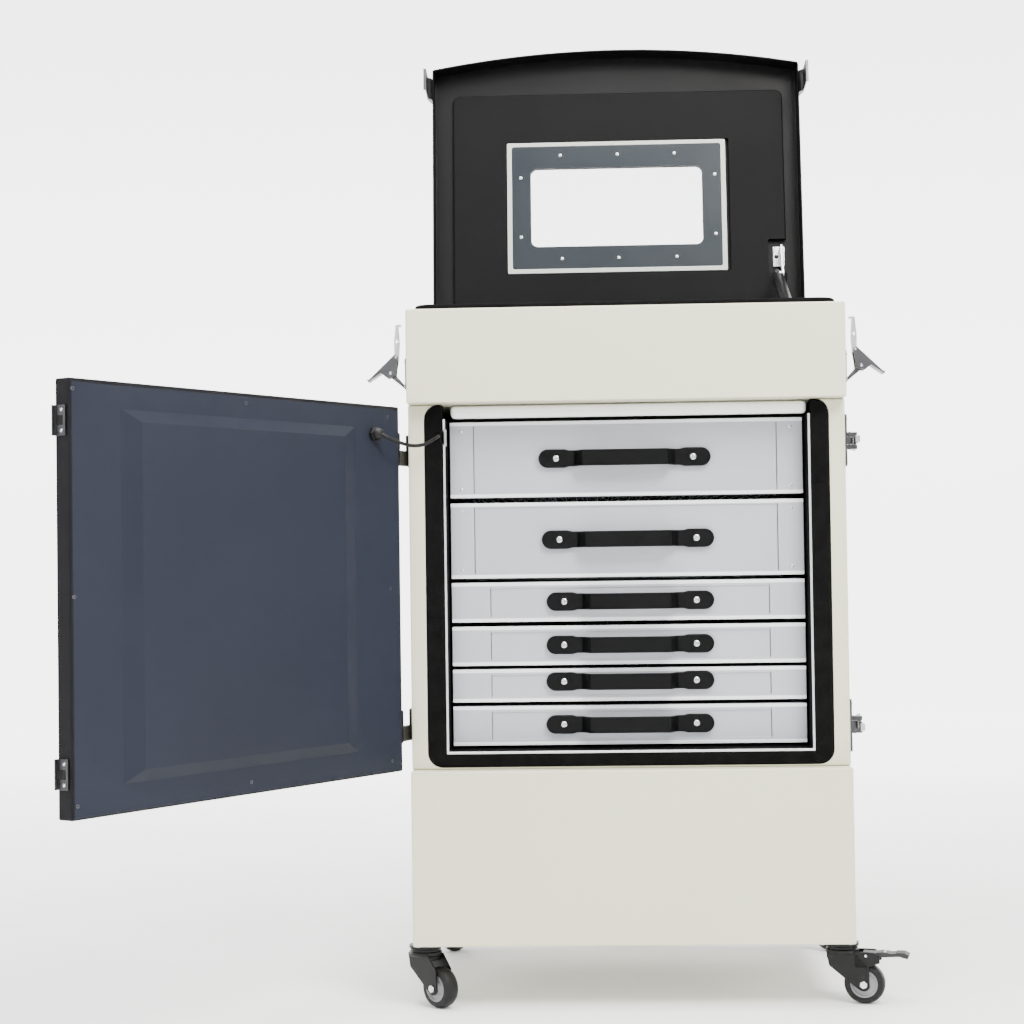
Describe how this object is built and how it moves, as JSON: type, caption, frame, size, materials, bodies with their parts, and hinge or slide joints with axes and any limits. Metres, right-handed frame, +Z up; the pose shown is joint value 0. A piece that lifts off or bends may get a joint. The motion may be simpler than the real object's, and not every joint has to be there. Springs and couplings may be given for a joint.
{
  "type": "fume extraction filter cabinet",
  "caption": "Mobile fume extraction cabinet on castors with stacked slide-out filter cassettes, a side-hung door and a strut-held top lid with a window.",
  "frame": {"origin": "on the floor, under the middle of the footprint of the cabinet with its door standing open", "axes": "+Z up; +Y from the front, where the filters and the door are, to the back; +X to the right seen from the front"},
  "size_m": [0.925, 0.9602, 1.2944],
  "materials": {
    "cream_powder_coat": "satin powder coat with a fine orange peel",
    "slate_powder_coat": "satin powder coat",
    "charcoal_powder_coat": "satin powder coat",
    "black_foam": "matt closed-cell foam",
    "bare_aluminium": "satin mill finish",
    "white_plastic": "gloss",
    "black_steel": "black satin",
    "black_plastic": "matt moulded",
    "bright_steel": "bright plated",
    "clear_window": "clear",
    "red_plastic": "gloss",
    "grey_plastic": "matt moulded",
    "black_rubber": "matt"
  },
  "bodies": {
    "root": {"base_box": "cream_powder_coat", "cabinet_body": "cream_powder_coat", "header_box": "cream_powder_coat", "front_seal": "black_foam", "filter_housing": "bare_aluminium", "clamp_bar": "white_plastic", "lid_seal": "black_foam", "blower_housing": "black_steel", "inlet_collar": "black_steel", "exhaust_grille": "charcoal_powder_coat", "power_inlet": "black_plastic", "hinge_block_upper": "black_steel", "hinge_block_lower": "black_steel", "door_lead": "black_plastic", "header_latch_base_left": "bright_steel", "header_latch_base_right": "bright_steel", "door_latch_base_upper": "black_steel", "door_latch_base_lower": "black_steel"},
    "door": {"door_panel": "slate_powder_coat", "door_strike_upper": "bright_steel", "door_strike_lower": "bright_steel"},
    "lid": {"lid_shell": "charcoal_powder_coat", "lid_window_pane": "clear_window", "lid_window_frame": "slate_powder_coat", "strut_bracket": "bright_steel", "lid_strike_left": "bright_steel", "lid_strike_right": "bright_steel"},
    "strut_cylinder": {"strut_cylinder": "black_steel"},
    "strut_rod": {"strut_rod": "bright_steel"},
    "fan": {"fan_impeller": "bare_aluminium"},
    "switch": {"power_switch": "red_plastic"},
    "brake_pedal": {"castor_brake_pedal": "grey_plastic"},
    "filter_1": {"filter_cassette_1": "bare_aluminium", "filter_handle_1": "black_plastic"},
    "filter_2": {"filter_cassette_2": "bare_aluminium", "filter_handle_2": "black_plastic"},
    "filter_3": {"filter_cassette_3": "bare_aluminium", "filter_handle_3": "black_plastic"},
    "filter_4": {"filter_cassette_4": "bare_aluminium", "filter_handle_4": "black_plastic"},
    "filter_5": {"filter_cassette_5": "bare_aluminium", "filter_handle_5": "black_plastic"},
    "filter_6": {"filter_cassette_6": "bare_aluminium", "filter_handle_6": "black_plastic"},
    "header_lever_left": {"header_latch_lever_left": "black_steel"},
    "header_claw_left": {"header_latch_claw_left": "bright_steel"},
    "header_lever_right": {"header_latch_lever_right": "black_steel"},
    "header_claw_right": {"header_latch_claw_right": "bright_steel"},
    "door_lever_upper": {"door_latch_lever_upper": "black_steel"},
    "door_claw_upper": {"door_latch_claw_upper": "bright_steel"},
    "door_lever_lower": {"door_latch_lever_lower": "black_steel"},
    "door_claw_lower": {"door_latch_claw_lower": "bright_steel"},
    "castor_front_left": {"castor_fork_front_left": "black_steel"},
    "wheel_front_left": {"castor_wheel_front_left": "black_rubber"},
    "castor_front_right": {"castor_fork_front_right": "black_steel"},
    "wheel_front_right": {"castor_wheel_front_right": "black_rubber"},
    "castor_rear_left": {"castor_fork_rear_left": "black_steel"},
    "wheel_rear_left": {"castor_wheel_rear_left": "black_rubber"},
    "castor_rear_right": {"castor_fork_rear_right": "black_steel"},
    "wheel_rear_right": {"castor_wheel_rear_right": "black_rubber"}
  },
  "joints": [
    {"name": "door_hinge", "type": "hinge", "parent": "root", "child": "door", "pos_m": [-0.16268, -0.00097, 0.52], "axis": [0, 0, -1], "range_deg": [-122.2, 28], "deforming": ["door_lead"]},
    {"name": "lid_hinge", "type": "hinge", "parent": "root", "child": "lid", "pos_m": [0.12202, 0.39673, 0.8705], "axis": [-1, 0, 0], "range_deg": [-96.4, 0]},
    {"name": "strut_swing", "type": "hinge", "parent": "lid", "child": "strut_cylinder", "pos_m": [0.34952, 0.41868, 0.9586], "axis": [-1, 0, 0], "range_deg": [0, 103.12]},
    {"name": "strut_slide", "type": "slide", "parent": "strut_cylinder", "child": "strut_rod", "axis": [0, -0.9133, -0.4073], "range_m": [-0.13295, 0]},
    {"name": "filter_1_slide", "type": "slide", "parent": "root", "child": "filter_1", "axis": [0, -1, 0], "range_m": [0, 0.335]},
    {"name": "filter_2_slide", "type": "slide", "parent": "root", "child": "filter_2", "axis": [0, -1, 0], "range_m": [0, 0.335]},
    {"name": "filter_3_slide", "type": "slide", "parent": "root", "child": "filter_3", "axis": [0, -1, 0], "range_m": [0, 0.335]},
    {"name": "filter_4_slide", "type": "slide", "parent": "root", "child": "filter_4", "axis": [0, -1, 0], "range_m": [0, 0.335]},
    {"name": "filter_5_slide", "type": "slide", "parent": "root", "child": "filter_5", "axis": [0, -1, 0], "range_m": [0, 0.335]},
    {"name": "filter_6_slide", "type": "slide", "parent": "root", "child": "filter_6", "axis": [0, -1, 0], "range_m": [0, 0.335]},
    {"name": "header_lever_left_turn", "type": "hinge", "parent": "root", "child": "header_lever_left", "pos_m": [-0.16838, 0.02323, 0.786], "axis": [0, 1, 0], "range_deg": [-40, 20]},
    {"name": "header_claw_left_turn", "type": "hinge", "parent": "header_lever_left", "child": "header_claw_left", "pos_m": [-0.16138, 0.02323, 0.806], "axis": [0, 1, 0], "range_deg": [-36, 70]},
    {"name": "header_lever_right_turn", "type": "hinge", "parent": "root", "child": "header_lever_right", "pos_m": [0.41242, 0.02323, 0.786], "axis": [0, -1, 0], "range_deg": [-40, 20]},
    {"name": "header_claw_right_turn", "type": "hinge", "parent": "header_lever_right", "child": "header_claw_right", "pos_m": [0.40542, 0.02323, 0.806], "axis": [0, -1, 0], "range_deg": [-36, 70]},
    {"name": "door_lever_upper_turn", "type": "hinge", "parent": "root", "child": "door_lever_upper", "pos_m": [0.39942, 0.03673, 0.6945], "axis": [0, 0, -1], "range_deg": [-6, 75]},
    {"name": "door_claw_upper_turn", "type": "hinge", "parent": "door_lever_upper", "child": "door_claw_upper", "pos_m": [0.40542, 0.03573, 0.6945], "axis": [0, 0, -1], "range_deg": [-144, 13]},
    {"name": "door_lever_lower_turn", "type": "hinge", "parent": "root", "child": "door_lever_lower", "pos_m": [0.39942, 0.03673, 0.3435], "axis": [0, 0, -1], "range_deg": [-6, 75]},
    {"name": "door_claw_lower_turn", "type": "hinge", "parent": "door_lever_lower", "child": "door_claw_lower", "pos_m": [0.40542, 0.03573, 0.3435], "axis": [0, 0, -1], "range_deg": [-144, 13]},
    {"name": "castor_front_left_swivel", "type": "hinge", "parent": "root", "child": "castor_front_left", "pos_m": [-0.13648, 0.04673, 0.07], "axis": [0, 0, 1], "continuous": true},
    {"name": "castor_front_left_spin", "type": "hinge", "parent": "castor_front_left", "child": "wheel_front_left", "pos_m": [-0.11705, 0.02797, 0.0252], "axis": [0.6947, 0.7193, 0], "continuous": true},
    {"name": "castor_front_right_swivel", "type": "hinge", "parent": "root", "child": "castor_front_right", "pos_m": [0.38052, 0.04673, 0.07], "axis": [0, 0, 1], "continuous": true},
    {"name": "castor_front_right_spin", "type": "hinge", "parent": "castor_front_right", "child": "wheel_front_right", "pos_m": [0.40672, 0.0402, 0.0252], "axis": [0.2419, 0.9703, 0], "continuous": true},
    {"name": "castor_rear_left_swivel", "type": "hinge", "parent": "root", "child": "castor_rear_left", "pos_m": [-0.13648, 0.36873, 0.07], "axis": [0, 0, 1], "continuous": true},
    {"name": "castor_rear_left_spin", "type": "hinge", "parent": "castor_rear_left", "child": "wheel_rear_left", "pos_m": [-0.1238, 0.39257, 0.0252], "axis": [-0.8829, 0.4695, 0], "continuous": true},
    {"name": "castor_rear_right_swivel", "type": "hinge", "parent": "root", "child": "castor_rear_right", "pos_m": [0.38052, 0.36873, 0.07], "axis": [0, 0, 1], "continuous": true},
    {"name": "castor_rear_right_spin", "type": "hinge", "parent": "castor_rear_right", "child": "wheel_rear_right", "pos_m": [0.4059, 0.37796, 0.0252], "axis": [-0.342, 0.9397, 0], "continuous": true},
    {"name": "brake_pedal_press", "type": "hinge", "parent": "castor_front_right", "child": "brake_pedal", "pos_m": [0.40963, 0.03947, 0.0605], "axis": [0.2419, 0.9703, 0], "range_deg": [0, 12]},
    {"name": "fan_spin", "type": "hinge", "parent": "root", "child": "fan", "pos_m": [0.12202, 0.25473, 0.76], "axis": [0, 0, 1], "continuous": true},
    {"name": "power_switch_press", "type": "hinge", "parent": "root", "child": "switch", "pos_m": [0.21702, 0.21473, 0.847], "axis": [0, 1, 0], "range_deg": [0, 14]}
  ],
  "couplings": [
    {"joint": "strut_swing", "follows": "lid_hinge", "ratio": -1.0645},
    {"joint": "strut_slide", "follows": "lid_hinge", "m_per_rad": 0.078425},
    {"joint": "header_claw_left_turn", "follows": "header_lever_left_turn", "ratio": -1.7},
    {"joint": "header_claw_right_turn", "follows": "header_lever_right_turn", "ratio": -1.7},
    {"joint": "door_claw_upper_turn", "follows": "door_lever_upper_turn", "ratio": -1.9},
    {"joint": "door_claw_lower_turn", "follows": "door_lever_lower_turn", "ratio": -1.9}
  ]
}
